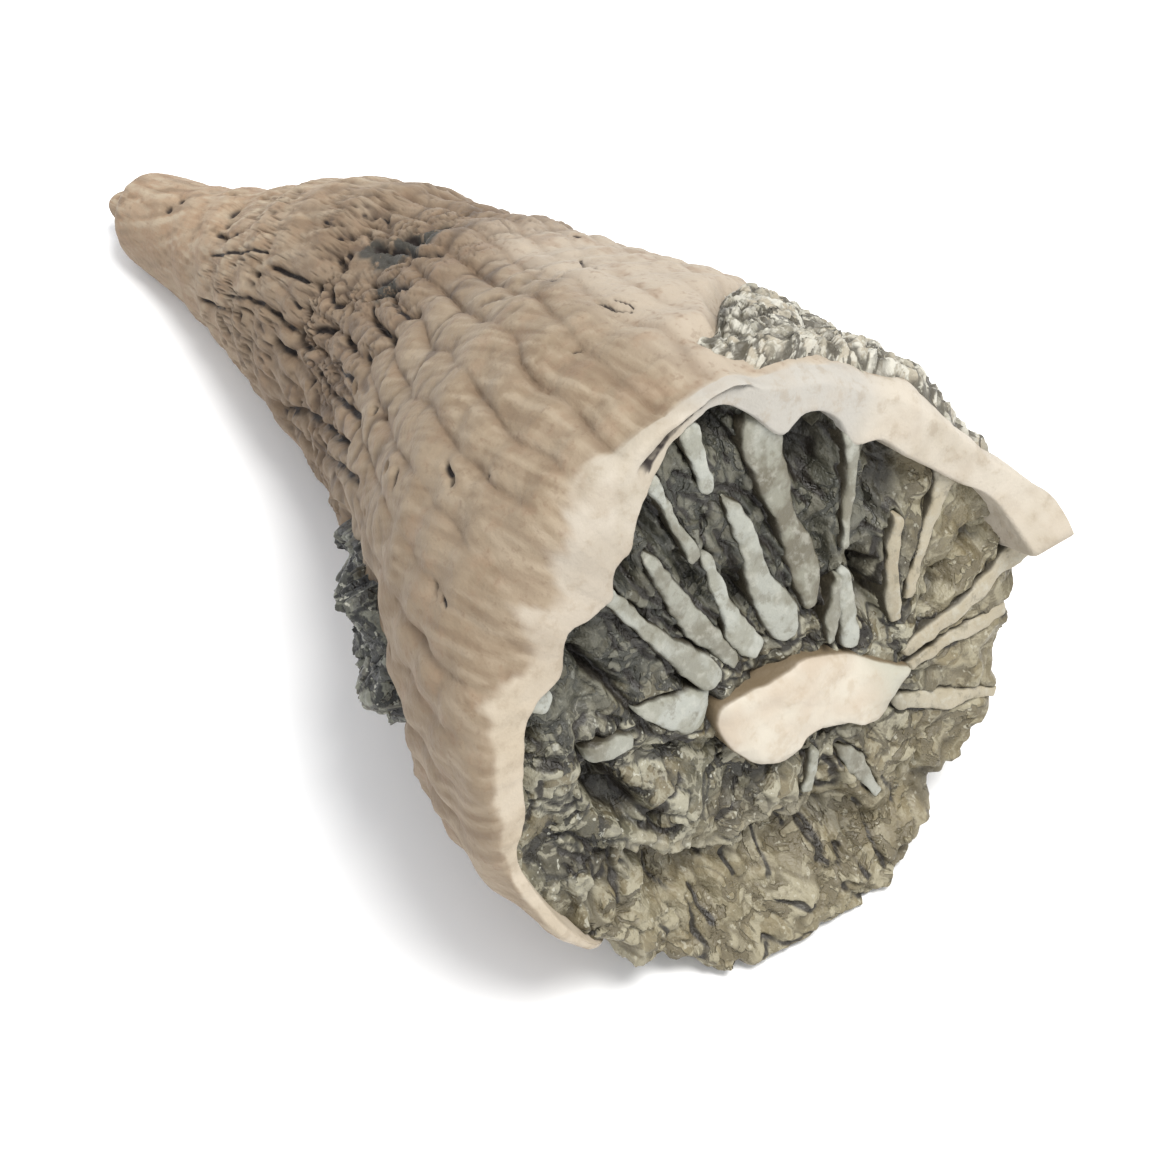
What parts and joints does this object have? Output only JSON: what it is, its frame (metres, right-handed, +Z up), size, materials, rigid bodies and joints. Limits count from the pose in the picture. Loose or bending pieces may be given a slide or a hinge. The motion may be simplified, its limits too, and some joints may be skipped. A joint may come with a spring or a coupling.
{
  "type": "fossil horn coral",
  "caption": "Curved, ribbed fossil horn coral lying on its side, with radial septa and a central boss in its sediment-filled calyx.",
  "frame": {"origin": "centre of the bounding box, on the ground plane that the fossil lies on", "axes": "+X along the horn from its apex to its calyx, +Z up as the fossil lies at rest, +Y towards the side with the upper sediment crust"},
  "size_m": [0.0508, 0.0288, 0.0248],
  "materials": {
    "calcite": "weathered, matt tan with paler worn edges and darker grooves",
    "sediment": "rough, matt grey-green with near-black crevices"
  },
  "bodies": {
    "root": {"coral": "calcite", "matrix_infill": "sediment", "matrix_crust_upper": "sediment", "matrix_crust_lower": "sediment"}
  },
  "joints": []
}
